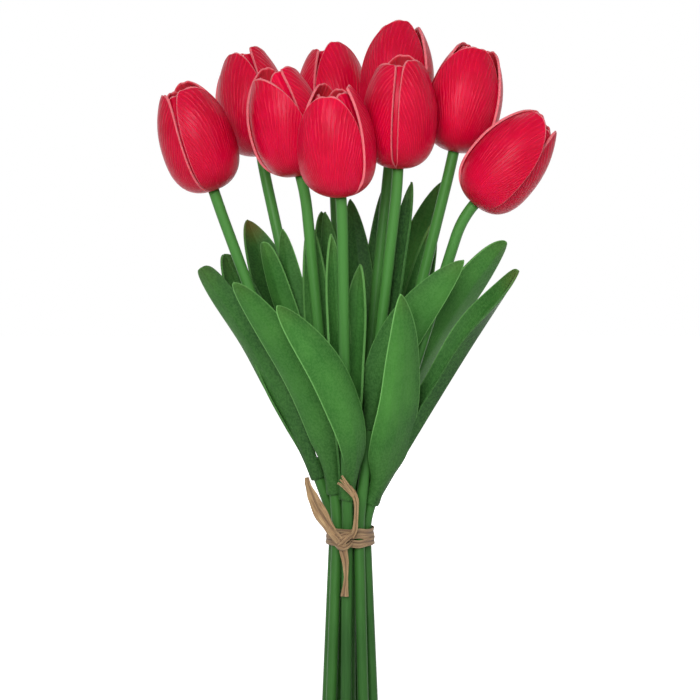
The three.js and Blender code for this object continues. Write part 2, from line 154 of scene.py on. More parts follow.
# How far a turn climbs over its own start, the second stands out and both waver, in mm
BAND_CLIMB = 0.4
SECOND_TURN_RISE = 0.25
BAND_SLACK = 0.25
# How far the turns are drawn apart in mm, where, and over what angle
BAND_PARTING = 0.55
BAND_SLIT = math.radians(292)
BAND_SLIT_REACH = math.radians(14)
STRIP_THICKNESS = 0.4 * MM
STRIP_ACROSS = 22
STRIP_STEPS = 48
STRIP_FOLDS = (3.6, 4.6)
STRIP_WAVER = (0.5, 1.2)
STRIP_ARCH = 0.25
STRIP_PLEAT = 0.3
WIDE_STRIP_PLEAT = 0.22
STRIP_PATTERN_LENGTH = 20 * MM

# Studio: places and sizes in metres, powers in watts
FLOOR_SIZE = 8
PAPER_GREY = (0.85, 0.85, 0.85, 1)
WHITE = (1, 1, 1, 1)
SOFT_LIGHT = 0.15
LAMP_TARGET = Vector((0, 0, 0.22))
LAMPS = {
    "key": {"place": (-0.22, -1.2, 0.66), "size": 0.6, "power": 14.6},
    "fill": {"place": (0.9, -0.9, 0.7), "size": 0.7, "power": 2.6},
    "back": {"place": (0.2, 1.3, 0.9), "size": 0.8, "power": 11},
}
CAMERA_DISTANCE = 1.3
CAMERA_ELEVATION = math.radians(3)
CAMERA_TARGET = Vector((0, 0, 0.1852))
CAMERA_LENS = 142.2

# One entry per tulip. spin turns its petals, lap says which edge of a petal lies on top (1 the left one
# seen from the axis, -1 the other, 0 edge to edge), round how broad their tips are, painted_shade how dark
# its petals are painted, as painted shade that is deepest on the outer and back heads, and sleeve is its
# leaf's foot above the waist in mm.
# petals has the outer petals in turn: share of the head's height, half its width and how far it leans out
# in degrees, and to which side its tip lies, from -1 for its right edge to 1 for its left one.
# A blade has its tip in mm, the way its back faces in degrees, its width and bow in mm, how sharply it is
# folded along its crease and how light it is (tone), partly its own green and partly painted shade, lower
# on the blades behind. PLAIN_BLADE has what a blade needn't give: how slowly it opens above its foot, how
# pointed it ends, how brown its tip is, how far it is curled in degrees, where across it the crease lies,
# and how much lighter one edge is than the middle and the other as much darker, as painted light and shade
# (painted_shade_across, below 0 for the left edge). painted_shade_beyond_crease is how light it is beyond
# the crease, lower as painted shade where that side is turned from the light.
PLAIN_BLADE = {"foot": 0.8, "point": 0.62, "brown": 0.12, "curl": 40, "crease": 0, "painted_shade_across": 0}
TULIPS = {
    "far_left": {
        "spin": -50, "lap": 0, "round": 5.5, "painted_shade": 0.5, "sleeve": 21,
        "petals": [(0.95, 58, 0, -0.6), (1, 60, 0, 0), (0.95, 57, 0.3, 0.3)],
        "blades": [
            {"tip": (-70, -7, 224), "facing": 230, "width": 18, "bow": 0,
             "fold": 0.3, "tone": 0.3, "foot": 0.5, "point": 0.28, "painted_shade_across": -0.25},
            {"tip": (-60, 16, 230), "facing": 130, "width": 22, "bow": 4,
             "fold": 0.2, "tone": 0.2, "point": 0.45},
        ],
    },
    "back_left": {
        "spin": -10, "lap": 1, "round": 3.6, "painted_shade": 0.2, "sleeve": 30,
        "petals": [(0.99, 60, 0, -0.8), (0.99, 60, 0, 0), (0.95, 61, 0, 0)],
        "blades": [
            {"tip": (-50, 42, 246), "facing": 115, "width": 26, "bow": 6,
             "fold": 0.3, "tone": 0.3, "brown": 1},
            {"tip": (-32, 8, 242), "facing": 250, "width": 15, "bow": 2,
             "fold": 0.2, "tone": 0.45},
            {"tip": (-41, 0, 236), "facing": 235, "width": 14, "bow": 1,
             "fold": 0.5, "tone": 0.6, "point": 0.4},
        ],
    },
    "front_left": {
        "spin": -123, "lap": 1, "round": 2.8, "painted_shade": 0, "sleeve": 14,
        "petals": [(0.93, 64, 0, -0.45), (0.97, 60, 0, -0.9), (1, 60, 0, 0)],
        "blades": [
            {"tip": (-53, -44, 218), "facing": 252, "width": 19, "bow": 4,
             "fold": 0.3, "tone": 0.64, "foot": 0.6, "point": 0.55, "painted_shade_across": -0.25},
            {"tip": (-19, 0, 246), "facing": 90, "width": 15, "bow": 1,
             "fold": 0.2, "tone": 0.4},
        ],
    },
    "middle": {
        "spin": -57, "lap": 1, "round": 4.5, "painted_shade": 0.1, "sleeve": 46,
        "petals": [(1, 60, 0, -0.25), (0.98, 60, 0, 0), (0.94, 60, 0, 0.85)],
        "blades": [
            {"tip": (-14, 46, 250), "facing": 100, "width": 18, "bow": 7,
             "fold": 0.2, "tone": 0.3},
            {"tip": (-12, 8, 250), "facing": -110, "width": 13, "bow": 1,
             "fold": 0.2, "tone": 0.25},
        ],
    },
    "front_centre": {
        "spin": -108, "lap": -1, "round": 3.2, "painted_shade": 0.05, "sleeve": 12,
        "petals": [(0.91, 63, 0, 0), (0.98, 60, 0, -0.85), (0.99, 60, 0, 0.1)],
        "blades": [
            {"tip": (-33, -54, 208), "facing": -62, "width": 20, "bow": 26,
             "fold": 0.3, "tone": 0.65, "point": 0.6, "painted_shade_across": -0.15},
            {"tip": (-9, -19, 240), "facing": 118, "width": 14, "bow": 1,
             "fold": 0.2, "tone": 0.45},
            {"tip": (5, -18, 226), "facing": 66, "width": 15, "bow": 1,
             "fold": 0.2, "tone": 0.5},
        ],
    },
    "back_right": {
        "spin": 20, "lap": -1, "round": 5.5, "painted_shade": 0.15, "sleeve": 32,
        "petals": [(0.97, 60, 0, -0.4), (0.97, 60, 0, 0), (1, 61, 0, 0.35)],
        "blades": [
            {"tip": (46, 36, 265), "facing": 48, "width": 25, "bow": 9,
             "fold": 0.4, "tone": 0.6},
            {"tip": (17, 32, 263), "facing": 88, "width": 14, "bow": 3,
             "fold": 0.2, "tone": 0.2},
            {"tip": (0, 28, 256), "facing": 100, "width": 16, "bow": 2,
             "fold": 0.2, "tone": 0.2},
        ],
    },
    "front_right": {
        "spin": -38, "lap": 0, "round": 5.5, "painted_shade": 0.05, "sleeve": 45,
        "petals": [(0.97, 55, 0, -0.5), (1, 60, 0, 0), (0.93, 55, 0, 0.85)],
        "blades": [
            {"tip": (52, -36, 228), "facing": -80, "width": 22, "bow": 5,
             "fold": 0.3, "tone": 0.58, "foot": 0.55, "point": 0.65, "painted_shade_across": 0.3},
            {"tip": (29, -8, 264), "facing": 60, "width": 12, "bow": 1,
             "fold": 0.2, "tone": 0.1},
        ],
    },
    "right": {
        "spin": -90, "lap": -1, "round": 5.5, "painted_shade": 0.1, "sleeve": 29,
        "petals": [(0.94, 62, 0, 0.2), (0.96, 60, 0, 0), (0.99, 60, 0, -0.5)],
        "blades": [
            {"tip": (74, 6, 236), "facing": -45, "width": 24, "bow": 5,
             "fold": 0.5, "tone": 0.62, "point": 0.5},
            {"tip": (40, 14, 246), "facing": 100, "width": 15, "bow": 2,
             "fold": 0.2, "tone": 0.35, "brown": 0.6},
        ],
    },
    "far_right": {
        "spin": -120, "lap": 1, "round": 4.5, "painted_shade": 0.3, "sleeve": 9,
        "petals": [(0.98, 62, 0, 0), (0.96, 60, -1.5, 0), (0.99, 60, 0, 0)],
        "blades": [
            {"tip": (78, -26, 223), "facing": 8, "width": 24, "bow": 13,
             "fold": 0.85, "tone": 0.5, "brown": 0.4, "point": 0.45,
             "curl": 120, "crease": -0.17, "painted_shade_beyond_crease": 0.1},
            {"tip": (23, -48, 213), "facing": -72, "width": 25, "bow": 16,
             "fold": 0.8, "tone": 0.7, "foot": 0.36, "point": 0.66,
             "curl": 56, "crease": -0.55, "painted_shade_across": -0.25},
        ],
    },
}


def lerp(start, end, share):
    return start + (end - start) * share


def eased(share):
    share = min(1, max(0, share))
    return share * share * (3 - 2 * share)


def curve(start, bend, end, share):
    return start * (1 - share) ** 2 + bend * 2 * share * (1 - share) + end * share**2


def curve_heading(start, bend, end, share):
    return ((bend - start) * (1 - share) + (end - bend) * share).normalized()


def lengths_along(points):
    """How far along a path each of its points lies."""
    lengths = [0.0]
    for start, end in zip(points, points[1:]):
        lengths.append(lengths[-1] + (end - start).length)
    return lengths


def deselect_all():
    bpy.ops.object.select_all(action="DESELECT")


def make_active(piece):
    deselect_all()
    piece.select_set(True)
    bpy.context.view_layer.objects.active = piece


def bent_grid(name, across, along, place):
    """A grid bent to place(u, v), u across and v along. place gives the point, how far it lies from the
    cut edge, and where it lies on the pattern."""
    deselect_all()
    bpy.ops.mesh.primitive_grid_add(x_subdivisions=across, y_subdivisions=along, size=1)
    piece = bpy.context.object
    piece.name = name
    placed = [place(vertex.co.x + 0.5, vertex.co.y + 0.5) for vertex in piece.data.vertices]
    margin = piece.data.attributes.new("edge_mm", "FLOAT", "POINT")
    for vertex, (point, edge, _) in zip(piece.data.vertices, placed):
        vertex.co = point
        margin.data[vertex.index].value = edge / MM
    pattern = piece.data.uv_layers.active.data
    for loop in piece.data.loops:
        pattern[loop.index].uv = placed[loop.vertex_index][2]
    return piece


def apply_modifier(piece, kind, **settings):
    make_active(piece)
    modifier = piece.modifiers.new(kind.lower(), kind)
    for setting, value in settings.items():
        setattr(modifier, setting, value)
    bpy.ops.object.modifier_apply(modifier=modifier.name)


def thicken(piece, wall):
    apply_modifier(piece, "SOLIDIFY", thickness=wall, offset=-1, use_quality_normals=True)


def round_over(piece):
    apply_modifier(piece, "SUBSURF", levels=1, render_levels=1)


def soften_above(piece, height):
    """Smooths the last of a petal's tip, where all its rows meet."""
    group = piece.vertex_groups.new(name="tip")
    group.add([vertex.index for vertex in piece.data.vertices if vertex.co.z > height], 1, "ADD")
    apply_modifier(piece, "SMOOTH", factor=0.5, iterations=8, vertex_group="tip")
    piece.vertex_groups.clear()


def merge_seam(piece):
    make_active(piece)
    bpy.ops.object.mode_set(mode="EDIT")
    bpy.ops.mesh.select_all(action="SELECT")
    bpy.ops.mesh.remove_doubles(threshold=SEAM_GAP)
    bpy.ops.object.mode_set(mode="OBJECT")


def close_tube(piece):
    """Merges the seam of a rolled grid and fills its ends."""
    merge_seam(piece)
    bpy.ops.object.mode_set(mode="EDIT")
    bpy.ops.mesh.select_all(action="SELECT")
    bpy.ops.mesh.fill_holes(sides=0)
    bpy.ops.mesh.select_all(action="DESELECT")
    bpy.ops.object.mode_set(mode="OBJECT")


def join_pieces(name, parts):
    deselect_all()
    for part in parts:
        part.select_set(True)
    bpy.context.view_layer.objects.active = parts[0]
    if len(parts) > 1:
        bpy.ops.object.join()
    parts[0].name = name
    return parts[0]


def paint_value(piece, attribute, value):
    """One value over the whole piece, for its material to read."""
    layer = piece.data.attributes.new(attribute, "FLOAT", "POINT")
    layer.data.foreach_set("value", [value] * len(piece.data.vertices))


def finish_piece(piece, body, node_name, material):
    piece.data.materials.clear()
    piece.data.materials.append(material)
    make_active(piece)
    bpy.ops.object.shade_smooth()
    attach(piece, body)
    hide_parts(node_name)


# Materials


def node(tree, kind, sockets=None, **settings):
    """Adds a node, sets its options, and gives each named socket a value or a link."""
    new = tree.nodes.new(kind)
    for setting, value in settings.items():
        setattr(new, setting, value)
    for socket, value in (sockets or {}).items():
        if isinstance(value, bpy.types.NodeSocket):
            tree.links.new(value, new.inputs[socket])
        else:
            new.inputs[socket].default_value = value
    return new


def math_node(tree, operation, first, second=0.0):
    return node(tree, "ShaderNodeMath", {0: first, 1: second}, operation=operation).outputs[0]


def ramp_between(tree, value, low, high):
    """Eased from 0 at low to 1 at high, which may be the lower of the two."""
    sockets = {"Value": value, "From Min": low, "From Max": high}
    return node(tree, "ShaderNodeMapRange", sockets, interpolation_type="SMOOTHSTEP").outputs["Result"]


def mix_colour(tree, share, first, second):
    """first where share is 0 and second where it is 1. A colour mix has its sockets at 0, 6 and 7."""
    mixer = node(tree, "ShaderNodeMix", {0: share, 6: first, 7: second}, data_type="RGBA")
    return mixer.outputs[2]


def tinted(tree, base, tint, mask, share=None):
    """base with tint over it where mask is 1, by share at most."""
    amount = mask if share is None else math_node(tree, "MULTIPLY", mask, share)
    return mix_colour(tree, amount, base, tint)


def noise(tree, place, scale, detail):
    sockets = {"Vector": place, "Scale": scale, "Detail": detail}
    return node(tree, "ShaderNodeTexNoise", sockets).outputs[0]


def stretched(tree, place, scale):
    return node(tree, "ShaderNodeMapping", {"Vector": place, "Scale": scale}).outputs[0]


def attribute_value(tree, name):
    return node(tree, "ShaderNodeAttribute", attribute_name=name).outputs["Fac"]


def colour(red, green, blue):
    """A colour as it is seen on a screen, 0 to 255, made linear."""
    linear = [
        channel / 12.92 if channel <= 0.04045 else ((channel + 0.055) / 1.055) ** 2.4
        for channel in (red / 255, green / 255, blue / 255)
    ]
    return (*linear, 1)


# Each finish's colours. The two of a pair are mixed by a mottle.
PETAL_DULL = colour(196, 0, 44)
PETAL_BRIGHT = colour(218, 2, 58)
PETAL_DEEP_DYE_AND_SHADE = colour(164, 4, 38)
PETAL_FOOT_SHADE = colour(160, 0, 24)
PETAL_INSIDE_PALE_AND_LIT = colour(206, 66, 74)
PETAL_VEIN = colour(244, 26, 68)
PETAL_RIM = colour(222, 112, 120)
LEAF_SHADED_GREENS = (colour(24, 56, 24), colour(36, 74, 31))
LEAF_LIT_GREENS = (colour(56, 118, 44), colour(76, 140, 58))
LEAF_FOOT_SHADE = colour(30, 62, 26)
LEAF_SIDE_SHADE = colour(34, 72, 30)
LEAF_FELT = colour(96, 150, 78)
LEAF_BROWN = colour(112, 92, 44)
LEAF_EDGE_AND_HIGHLIGHT = colour(118, 178, 98)
STEM_SHADED_LOW = (colour(35, 75, 29), colour(48, 94, 38))
STEM_LIT_HIGH = colour(68, 124, 55)
STEM_FRESH = colour(70, 128, 54)
STEM_STREAK = colour(70, 122, 58)
RAFFIA_BAND = (colour(112, 84, 60), colour(138, 106, 78))
RAFFIA_TAIL = (colour(140, 106, 70), colour(166, 132, 90))
RAFFIA_FIBRE = colour(196, 166, 120)
RAFFIA_GAP = colour(84, 54, 34)
RAFFIA_VALLEY_SHADE = colour(70, 44, 28)
CORE_FOAM = (colour(140, 8, 34), colour(160, 14, 42))
WIRE_STEEL = (colour(150, 152, 156), colour(186, 188, 190))

# Veins keep their plain spacing at this height of the pattern, and waver by a noise stretched along them
PLAIN_VEIN_HEIGHT = 0.9
VEIN_NOISE_STRETCH = (9, 3, 1)
# How much finer a mottle's grain is than its tone
GRAIN_FINENESS = 22.0


def make_group(name, inputs, outputs):
    group = bpy.data.node_groups.new(name, "ShaderNodeTree")
    for socket, (kind, value) in inputs.items():
        new = group.interface.new_socket(socket, in_out="INPUT", socket_type=kind)
        if value is not None:
            new.default_value = value
    for socket in outputs:
        group.interface.new_socket(socket, in_out="OUTPUT", socket_type="NodeSocketFloat")
    start = group.nodes.new("NodeGroupInput")
    end = group.nodes.new("NodeGroupOutput")
    return group, start.outputs, end.inputs


def make_vein_group():
    """Fine ribs that fan out from the middle line of a petal or leaf."""
    group, given, result = make_group(
        "fanning_veins",
        {
            "Pattern": ("NodeSocketVector", None),
            "Count": ("NodeSocketFloat", 12.0),
            "Fan": ("NodeSocketFloat", 0.5),
            "Waver": ("NodeSocketFloat", 0.6),
        },
        ["Veins"],
    )
    apart = node(group, "ShaderNodeSeparateXYZ", {0: given["Pattern"]})
    from_middle = math_node(group, "ABSOLUTE", math_node(group, "SUBTRACT", apart.outputs["X"], 0.5))
    lane = math_node(group, "MULTIPLY", math_node(group, "MULTIPLY", from_middle, 2.0), given["Count"])
    above = math_node(group, "SUBTRACT", apart.outputs["Y"], PLAIN_VEIN_HEIGHT)
    opened = math_node(group, "ADD", math_node(group, "MULTIPLY", above, given["Fan"]), 1.0)
    drawn_out = stretched(group, given["Pattern"], VEIN_NOISE_STRETCH)
    drift = math_node(group, "MULTIPLY", noise(group, drawn_out, scale=1.0, detail=3.0), given["Waver"])
    phase = math_node(group, "ADD", math_node(group, "DIVIDE", lane, opened), drift)
    wave = math_node(group, "SINE", math_node(group, "MULTIPLY", phase, 2 * math.pi))
    ridge = ramp_between(group, wave, -0.2, 1.0)
    strength = ramp_between(group, noise(group, drawn_out, scale=2.6, detail=2.0), 0.25, 0.7)
    group.links.new(math_node(group, "MULTIPLY", ridge, strength), result["Veins"])
    return group


def make_mottle_group():
    """Soft uneven tone at two scales."""
    group, given, result = make_group(
        "soft_mottle",
        {"Place": ("NodeSocketVector", None), "Scale": ("NodeSocketFloat", 60.0)},
        ["Tone", "Grain"],
    )
    broad = noise(group, given["Place"], given["Scale"], detail=3.0)
    finer = math_node(group, "MULTIPLY", given["Scale"], GRAIN_FINENESS)
    group.links.new(ramp_between(group, broad, 0.3, 0.7), result["Tone"])
    group.links.new(noise(group, given["Place"], finer, detail=2.0), result["Grain"])
    return group


VEINS = make_vein_group()
MOTTLE = make_mottle_group()


def new_material(name):
    material = bpy.data.materials.new(name)
    material.use_nodes = True
    tree = material.node_tree
    surface = tree.nodes["Principled BSDF"]
    places = tree.nodes.new("ShaderNodeTexCoord")
    return material, tree, surface, places


def pattern_axes(tree, places):
    """X across and Y along the piece's own pattern."""
    return node(tree, "ShaderNodeSeparateXYZ", {0: places.outputs["UV"]}).outputs


def veins_on(tree, places, count, fan, waver):
    sockets = {"Pattern": places.outputs["UV"], "Count": count, "Fan": fan, "Waver": waver}
    return node(tree, "ShaderNodeGroup", sockets, node_tree=VEINS).outputs["Veins"]


def mottle_on(tree, places, scale):
    sockets = {"Place": places.outputs["Object"], "Scale": scale}
    mottle = node(tree, "ShaderNodeGroup", sockets, node_tree=MOTTLE)
    return mottle.outputs["Tone"], mottle.outputs["Grain"]


def with_grain(tree, relief, grain, share):
    return math_node(tree, "ADD", relief, math_node(tree, "MULTIPLY", grain, share))


def bump_from(tree, surface, height, strength, depth):
    bump = node(tree, "ShaderNodeBump", {"Strength": strength, "Distance": depth, "Height": height})
    tree.links.new(bump.outputs["Normal"], surface.inputs["Normal"])


def set_sockets(surface, values):
    for socket, value in values.items():
        surface.inputs[socket].default_value = value


def petal_material():
    material, tree, surface, places = new_material("crimson_petal_foam")
    veins = veins_on(tree, places, count=8.0, fan=0.85, waver=1.4)
    tone, grain = mottle_on(tree, places, scale=70.0)
    shade_near_foot = ramp_between(tree, pattern_axes(tree, places)["Y"], 0.2, 0.0)
    red = mix_colour(tree, tone, PETAL_DULL, PETAL_BRIGHT)
    # Painted shade and dye: the petal's tone darkens it by a random amount of its own, and by the head's
    # painted shade, most on the outer and back heads
    red = tinted(tree, red, PETAL_DEEP_DYE_AND_SHADE, attribute_value(tree, "tone"))
    # Painted shade: darker near each petal's foot, low on the head
    red = tinted(tree, red, PETAL_FOOT_SHADE, shade_near_foot, share=0.5)
    # The inner faces are paler: partly a paler inside, and partly painted light lifting the shade inside
    # the cup
    red = tinted(tree, red, PETAL_INSIDE_PALE_AND_LIT, attribute_value(tree, "inside"), share=0.6)
    red = tinted(tree, red, PETAL_VEIN, veins, share=0.46)
    off_edge = ramp_between(tree, attribute_value(tree, "edge_mm"), 0.0, 0.35)
    tree.links.new(mix_colour(tree, off_edge, PETAL_RIM, red), surface.inputs["Base Color"])
    bump_from(tree, surface, with_grain(tree, veins, grain, share=0.2), strength=0.75, depth=0.35 * MM)
    soft_foam = {
        "Roughness": 0.34,
        "Specular IOR Level": 0.17,
        "Specular Tint": (1, 0.62, 0.72, 1),
        "Subsurface Weight": 0.35,
        "Subsurface Radius": (1.0, 0.15, 0.2),
        "Subsurface Scale": 3 * MM,
    }
    set_sockets(surface, soft_foam)
    return material


def leaf_material():
    material, tree, surface, places = new_material("matt_green_leaf")
    veins = veins_on(tree, places, count=12.0, fan=0.0, waver=0.8)
    tone, grain = mottle_on(tree, places, scale=45.0)
    lightness = attribute_value(tree, "tone")
    pattern = pattern_axes(tree, places)
    dark = mix_colour(tree, tone, *LEAF_SHADED_GREENS)
    light = mix_colour(tree, tone, *LEAF_LIT_GREENS)
    # Painted light and shade: the blade's tone mixes a shaded and a lit green, lower on the blades behind,
    # partly also each blade's own green
    green = mix_colour(tree, lightness, dark, light)
    # Painted shade: darker towards the blade's foot
    green = tinted(tree, green, LEAF_FOOT_SHADE, ramp_between(tree, pattern["Y"], 0.5, 0.0), share=0.65)
    off_middle = math_node(tree, "ABSOLUTE", math_node(tree, "SUBTRACT", pattern["X"], 0.5))
    # Painted shade: darker towards both edges, where a rounded blade turns from the light
    green = tinted(tree, green, LEAF_SIDE_SHADE, ramp_between(tree, off_middle, 0.15, 0.5), share=0.3)
    green = tinted(tree, green, LEAF_FELT, ramp_between(tree, grain, 0.35, 0.65), share=0.18)
    green = tinted(tree, green, LEAF_FELT, veins, share=0.1)
    green = tinted(tree, green, LEAF_BROWN, attribute_value(tree, "brown"), share=0.75)
    # A pale edge, partly the blade's paler margin and partly a painted highlight: as bright as the blade's
    # tone is light, and only above the foot
    near_edge = ramp_between(tree, attribute_value(tree, "edge_mm"), 0.8, 0.15)
    above_foot = ramp_between(tree, pattern["Y"], 0.1, 0.4)
    edge_highlight = math_node(tree, "MULTIPLY", math_node(tree, "MULTIPLY", near_edge, lightness), above_foot)
    green = tinted(tree, green, LEAF_EDGE_AND_HIGHLIGHT, math_node(tree, "MINIMUM", edge_highlight, 1.0))
    tree.links.new(green, surface.inputs["Base Color"])
    bump_from(tree, surface, with_grain(tree, veins, grain, share=0.4), strength=0.35, depth=0.2 * MM)
    set_sockets(surface, {"Roughness": 0.5, "Specular IOR Level": 0.12})
    return material


def stem_material():
    material, tree, surface, places = new_material("satin_green_stem")
    tone, grain = mottle_on(tree, places, scale=30.0)
    streaks = noise(tree, stretched(tree, places.outputs["UV"], (14, 5, 1)), scale=1.0, detail=4.0)
    # Painted light and shade: darker low down and lighter towards the heads
    lit_upwards = ramp_between(tree, pattern_axes(tree, places)["Y"], 0.5, 2.4)
    green = mix_colour(tree, tone, *STEM_SHADED_LOW)
    green = tinted(tree, green, STEM_LIT_HIGH, lit_upwards)
    green = tinted(tree, green, STEM_FRESH, attribute_value(tree, "tone"), share=0.45)
    green = tinted(tree, green, STEM_STREAK, ramp_between(tree, streaks, 0.45, 0.85), share=0.4)
    tree.links.new(green, surface.inputs["Base Color"])
    bump_from(tree, surface, with_grain(tree, streaks, grain, share=0.3), strength=0.08, depth=0.06 * MM)
    set_sockets(surface, {"Roughness": 0.4, "Specular IOR Level": 0.16})
    return material


def raffia_material():
    material, tree, surface, places = new_material("dry_raffia")
    tone, grain = mottle_on(tree, places, scale=120.0)
    fibres = noise(tree, stretched(tree, places.outputs["UV"], (34, 2.2, 1)), scale=1.0, detail=5.0)
    band = mix_colour(tree, tone, *RAFFIA_BAND)
    tail = mix_colour(tree, tone, *RAFFIA_TAIL)
    tan = mix_colour(tree, attribute_value(tree, "tone"), band, tail)
    tan = tinted(tree, tan, RAFFIA_FIBRE, ramp_between(tree, fibres, 0.42, 0.7))
    tan = tinted(tree, tan, RAFFIA_GAP, ramp_between(tree, fibres, 0.46, 0.3), share=0.6)
    # Painted shade: darker in the valleys of the strips' folds
    shade_in_valley = ramp_between(tree, attribute_value(tree, "edge_mm"), 0.45, 0.05)
    tan = tinted(tree, tan, RAFFIA_VALLEY_SHADE, shade_in_valley, share=0.6)
    tree.links.new(tan, surface.inputs["Base Color"])
    bump_from(tree, surface, with_grain(tree, fibres, grain, share=0.2), strength=0.9, depth=0.35 * MM)
    set_sockets(surface, {"Roughness": 0.62, "Sheen Weight": 0.1})
    return material


def core_material():
    material, tree, surface, places = new_material("dark_core_foam")
    tone, grain = mottle_on(tree, places, scale=300.0)
    tree.links.new(mix_colour(tree, tone, *CORE_FOAM), surface.inputs["Base Color"])
    bump_from(tree, surface, grain, strength=0.6, depth=0.3 * MM)
    set_sockets(surface, {"Roughness": 0.85})
    return material


def wire_material():
    material, tree, surface, places = new_material("drawn_steel_wire")
    tone, grain = mottle_on(tree, places, scale=200.0)
    tree.links.new(mix_colour(tree, tone, *WIRE_STEEL), surface.inputs["Base Color"])
    bump_from(tree, surface, grain, strength=0.2, depth=0.05 * MM)
    set_sockets(surface, {"Metallic": 1.0, "Roughness": 0.35})
    return material


# Stems, and where each tulip stands


def stem_route(name):
    """Foot, waist, neck and the headings between them, from the joints of the frame."""
    turn = JOINTS[f"head_{name}_turn"]
    neck = Vector(turn["pos_m"])
    head_axis = Vector(turn["axis"]).normalized()
    heading = Vector(JOINTS[f"leaves_{name}_slide"]["axis"]).normalized()
    corner = neck - head_axis * NECK_BEND
    waist = corner - heading * ((corner.z - WAIST_HEIGHT) / heading.z)
    foot = Vector((waist.x, waist.y, 0)) * (1 + FOOT_SPLAY / RING_RADIUS)
    return {
        "foot": foot, "waist": waist, "corner": corner, "neck": neck,
        "axis": head_axis, "heading": heading,
    }


def stem_stations(route):
    """Points and headings along a stem, closer together in its two bends."""
    low = (route["waist"] - route["foot"]).normalized()
    high = route["heading"]
    bend_start = route["waist"] - low * WAIST_BEND
    bend_end = route["waist"] + high * WAIST_BEND
    neck_start = route["corner"] - high * NECK_BEND
    stations = [(lerp(route["foot"], bend_start, step / LOW_STEPS), low) for step in range(LOW_STEPS)]
    for step in range(WAIST_STEPS):
        share = step / WAIST_STEPS
        point = curve(bend_start, route["waist"], bend_end, share)
        stations.append((point, curve_heading(bend_start, route["waist"], bend_end, share)))
    stations += [(lerp(bend_end, neck_start, step / HIGH_STEPS), high) for step in range(HIGH_STEPS)]
    for step in range(NECK_STEPS + 1):
        share = step / NECK_STEPS
        point = curve(neck_start, route["corner"], route["neck"], share)
        stations.append((point, curve_heading(neck_start, route["corner"], route["neck"], share)))
    return stations


def tube(name, stations, radius_at):
    """A rolled grid along the stations, with V of its pattern in units of TUBE_PATTERN_LENGTH."""
    last = len(stations) - 1
    lengths = lengths_along([point for point, _ in stations])

    def place(u, v):
        step = round(v * last)
        point, heading = stations[step]
        side = heading.cross(AWAY_FROM_VIEWER).normalized()
        rear = side.cross(heading) * -1
        angle = 2 * math.pi * u
        ring = side * math.cos(angle) + rear * math.sin(angle)
        return point + ring * radius_at(v), FAR_FROM_EDGE, (u, lengths[step] / TUBE_PATTERN_LENGTH)

    return bent_grid(name, TUBE_AROUND, last, place)


def stem_radius(v):
    """A stem's foot is a little rounded."""
    return STEM_RADIUS * (STEM_FOOT_SHARE if v == 0 else 1)


def make_stem(name, route, material):
    stem = tube(f"{name}_stem", stem_stations(route), stem_radius)
    close_tube(stem)
    paint_value(stem, "tone", random.Random(f"stem of {name}").uniform(0, 1))
    finish_piece(stem, "tied_stems", f"stem_{name}", material)


# Heads


def head_radius(share):
    """The egg's radius at a share of its height: a rounded foot, a swell and a drawn-in, open top."""
    if share < HEAD_SWELL:
        return HEAD_RADIUS * (1 - (1 - share / HEAD_SWELL) ** FOOT_CURVE) ** FOOT_FULLNESS
    closing = (share - HEAD_SWELL) / (1 - HEAD_SWELL)
    return HEAD_RADIUS * (1 - TOP_DRAWN_IN * closing**TOP_CURVE)


def petal_half_angle(share, widest, squareness):
    """Half the angle a petal spans at a share of its own height: full below, drawn in to a round tip."""
    narrowing = min(1, max(0, (share - PETAL_SHOULDER) / (1 - PETAL_SHOULDER))) ** squareness
    return math.radians(widest) * (1 - narrowing) ** PETAL_TIP_CURVE


def make_petal(name, foot, petal, inset, lap, squareness):
    """One petal, its middle line towards +X and its foot at the neck."""
    height, widest, lean, skew = petal

    def place(u, v):
        across = math.sin((u - 0.5) * math.pi)
        rise = (1 - math.cos(math.pi * v)) / 2
        share = lerp(foot, height, rise)
        spread = lerp(max(widest, JOINED_HALF_WIDTH), widest, eased(share / JOINED_SHARE))
        half = petal_half_angle(share / height, spread, squareness)
        radius = head_radius(share) - inset
        risen = eased(share * RELIEF_STEEPNESS) * min(1, half * radius / RELIEF_HALF_WIDTH)
        radius -= SIDE_DIP * abs(across) ** SIDE_DIP_CURVE * risen
        radius += EDGE_FLARE * abs(across) ** EDGE_FLARE_CURVE * risen
        radius += lap * EDGE_LAP * across * risen
        radius -= MIDDLE_GROOVE * math.exp(-((across / LINE_SPREAD) ** 2)) * risen
        radius += math.tan(math.radians(lean)) * share * HEAD_HEIGHT
        angle = half * across + skew * (math.radians(spread) - half)
        edge = (1 - abs(across)) * half * radius
        edge = min(edge, (height - share) * HEAD_HEIGHT)
        point = Vector((radius * math.cos(angle), radius * math.sin(angle), share * HEAD_HEIGHT))
        pattern = (0.5 + 0.5 * across * half * radius / PATTERN_HALF_WIDTH, share / height)
        return point, edge, pattern

    piece = bent_grid(name, PETAL_ACROSS, PETAL_ALONG, place)
    merge_seam(piece)
    outside = len(piece.data.vertices)
    thicken(piece, PETAL_THICKNESS)
    inside = piece.data.attributes.new("inside", "FLOAT", "POINT")
    for index in range(outside, len(piece.data.vertices)):
        inside.data[index].value = 1
    soften_above(piece, (height - SOFT_TIP_SHARE) * HEAD_HEIGHT)
    round_over(piece)
    return piece


def make_whorl(name, petals, foot, inset, lap, squareness, first_angle, painted_shade, dice):
    """Three petals round the head's axis, each darker by a little at random, and all by the head's painted
    shade.
    """
    pieces = []
    for third, petal in enumerate(petals):
        piece = make_petal(f"{name}_{third}", foot, petal, inset, lap, squareness)
        piece.data.transform(Matrix.Rotation(first_angle + third * 2 * math.pi / 3, 4, "Z"))
        paint_value(piece, "tone", painted_shade + dice.uniform(0, PETAL_SHADES))
        pieces.append(piece)
    return join_pieces(name, pieces)


